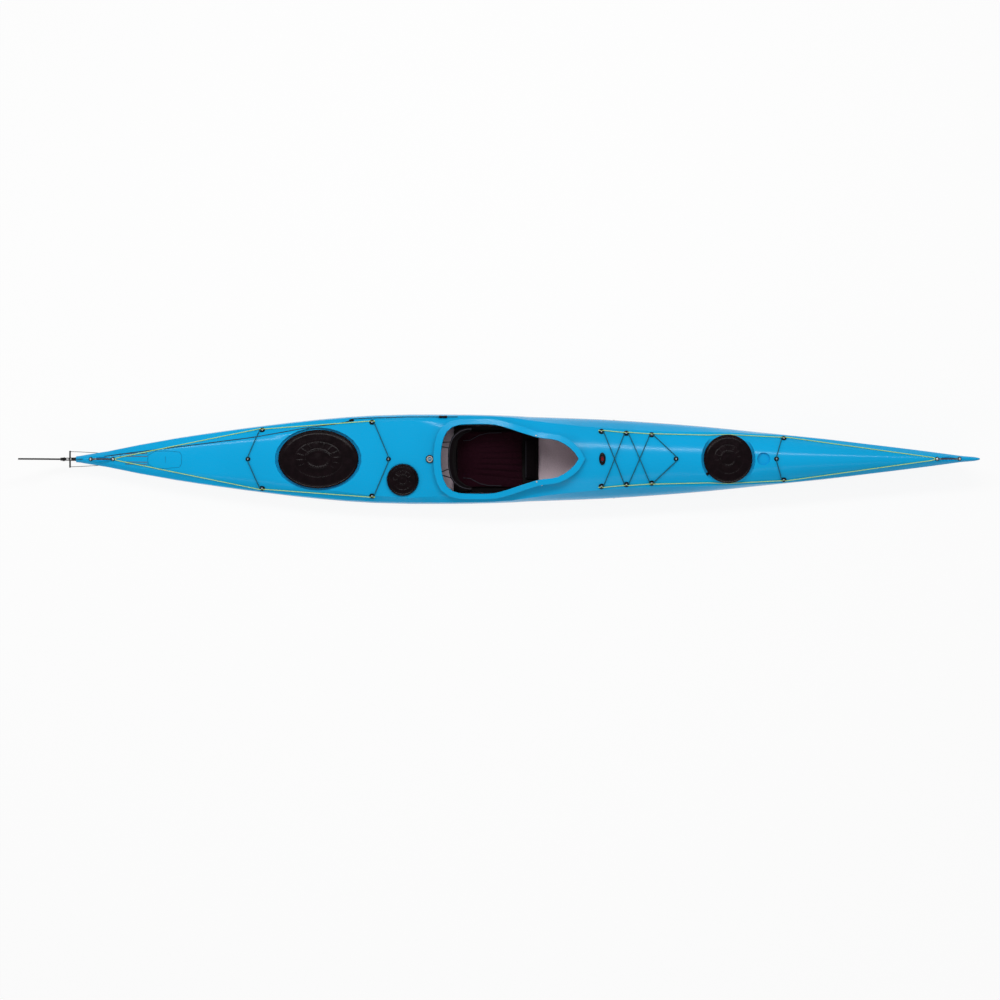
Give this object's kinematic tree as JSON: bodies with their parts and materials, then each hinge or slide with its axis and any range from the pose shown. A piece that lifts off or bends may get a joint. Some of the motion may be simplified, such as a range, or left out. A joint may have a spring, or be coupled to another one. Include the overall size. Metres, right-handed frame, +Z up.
{
  "type": "sea kayak",
  "caption": "Long narrow touring kayak with a keyhole cockpit, oval and round rubber hatches, deck lines, bungees and a lifting stern rudder.",
  "frame": {"origin": "on the flat of the keel at the middle of the hull length, where the kayak rests on level ground", "axes": "+X to the bow, +Y to port, +Z up"},
  "size_m": [5.7807, 0.542, 0.3739],
  "materials": {
    "azure_laminate": "glossy",
    "black_plastic": "satin",
    "black_rubber": "matt",
    "stainless_steel": "brushed",
    "deckline_cord": "woven cord",
    "bungee_cord": "woven cord",
    "black_cord": "woven cord",
    "seat_fabric": "quilted fabric",
    "black_foam": "padded fabric"
  },
  "bodies": {
    "kayak": {"hull_shell": "azure_laminate", "deck_shell": "azure_laminate", "cockpit_coaming": "azure_laminate", "rear_bulkhead": "azure_laminate", "day_bulkhead": "azure_laminate", "front_bulkhead": "azure_laminate", "rear_hatch_rim": "black_plastic", "day_hatch_rim": "black_plastic", "front_hatch_rim": "black_plastic", "stern_fitting_port": "black_plastic", "stern_fitting_starboard": "black_plastic", "aft_fitting_port": "black_plastic", "aft_fitting_starboard": "black_plastic", "fore_1_fitting_port": "black_plastic", "fore_1_fitting_starboard": "black_plastic", "fore_2_fitting_port": "black_plastic", "fore_2_fitting_starboard": "black_plastic", "fore_3_fitting_port": "black_plastic", "fore_3_fitting_starboard": "black_plastic", "bow_fitting_port": "black_plastic", "bow_fitting_starboard": "black_plastic", "stern_ring": "black_plastic", "day_ring": "black_plastic", "fore_ring": "black_plastic", "bow_ring": "black_plastic", "pump_outlet": "black_plastic", "rudder_bracket": "black_plastic", "foot_rail_port": "black_plastic", "foot_rail_starboard": "black_plastic", "bow_handle": "black_rubber", "stern_handle": "black_rubber", "security_ring": "stainless_steel", "rudder_pin": "stainless_steel", "bow_deckline": "deckline_cord", "stern_deckline": "deckline_cord", "foredeck_bungee": "bungee_cord", "bow_bungee": "bungee_cord", "day_bungee": "bungee_cord", "stern_bungee": "bungee_cord", "rudder_cable_port": "black_cord", "rudder_cable_starboard": "black_cord", "rudder_haul_line": "black_cord", "toggle_line": "black_cord", "seat_pan": "black_plastic", "seat_cushion": "seat_fabric", "thigh_brace_port": "black_foam", "thigh_brace_starboard": "black_foam"},
    "rudder_head": {"rudder_yoke": "black_plastic", "blade_bolt": "stainless_steel"},
    "blade": {"rudder_blade": "black_plastic"},
    "toggle": {"haul_toggle": "black_plastic"},
    "footrest_port_body": {"footrest_port": "black_plastic"},
    "footrest_starboard_body": {"footrest_starboard": "black_plastic"},
    "pedal_port": {"toe_pedal_port": "black_plastic"},
    "pedal_starboard": {"toe_pedal_starboard": "black_plastic"},
    "backrest_body": {"backrest": "black_foam"},
    "support_body": {"thigh_support": "black_foam"},
    "rear_cover": {"rear_hatch_cover": "black_rubber"},
    "day_cover": {"day_hatch_cover": "black_rubber"},
    "front_cover": {"front_hatch_cover": "black_rubber"}
  },
  "joints": [
    {"name": "rudder_steer", "type": "hinge", "parent": "kayak", "child": "rudder_head", "pos_m": [-2.756, 0, 0.124], "axis": [0, 0, 1], "range_deg": [-45, 45], "deforming": ["rudder_cable_port", "rudder_cable_starboard"]},
    {"name": "blade_lift", "type": "hinge", "parent": "rudder_head", "child": "blade", "pos_m": [-2.8, 0, 0.132], "axis": [0, -1, 0], "range_deg": [0, 110], "deforming": ["rudder_haul_line"]},
    {"name": "toggle_slide", "type": "slide", "parent": "kayak", "child": "toggle", "axis": [-1, 0, 0], "range_m": [0, 0.15]},
    {"name": "footrest_port_slide", "type": "slide", "parent": "kayak", "child": "footrest_port_body", "axis": [1, 0, 0], "range_m": [-0.1, 0.1]},
    {"name": "footrest_starboard_slide", "type": "slide", "parent": "kayak", "child": "footrest_starboard_body", "axis": [1, 0, 0], "range_m": [-0.1, 0.1]},
    {"name": "pedal_port_tilt", "type": "hinge", "parent": "footrest_port_body", "child": "pedal_port", "pos_m": [0.701, 0.1355, 0.1623], "axis": [0, 1, 0], "range_deg": [-20, 20]},
    {"name": "pedal_starboard_tilt", "type": "hinge", "parent": "footrest_starboard_body", "child": "pedal_starboard", "pos_m": [0.701, -0.1355, 0.1623], "axis": [0, 1, 0], "range_deg": [-20, 20]},
    {"name": "backrest_tilt", "type": "hinge", "parent": "kayak", "child": "backrest_body", "pos_m": [-0.345, 0, 0.147], "axis": [0, 1, 0], "range_deg": [-5, 25]},
    {"name": "support_tilt", "type": "hinge", "parent": "kayak", "child": "support_body", "pos_m": [-0.008, 0, 0.0096], "axis": [0, -1, 0], "range_deg": [0, 15]},
    {"name": "rear_cover_lift", "type": "slide", "parent": "kayak", "child": "rear_cover", "axis": [0, 0, 1], "range_m": [0, 0.12]},
    {"name": "day_cover_lift", "type": "slide", "parent": "kayak", "child": "day_cover", "axis": [0, -0.0348, 0.9994], "range_m": [0, 0.12]},
    {"name": "front_cover_lift", "type": "slide", "parent": "kayak", "child": "front_cover", "axis": [0, 0, 1], "range_m": [0, 0.12]}
  ],
  "couplings": [
    {"joint": "pedal_starboard_tilt", "follows": "rudder_steer", "ratio": 0.44},
    {"joint": "pedal_port_tilt", "follows": "rudder_steer", "ratio": -0.44},
    {"joint": "toggle_slide", "follows": "blade_lift", "m_per_rad": 0.075}
  ]
}
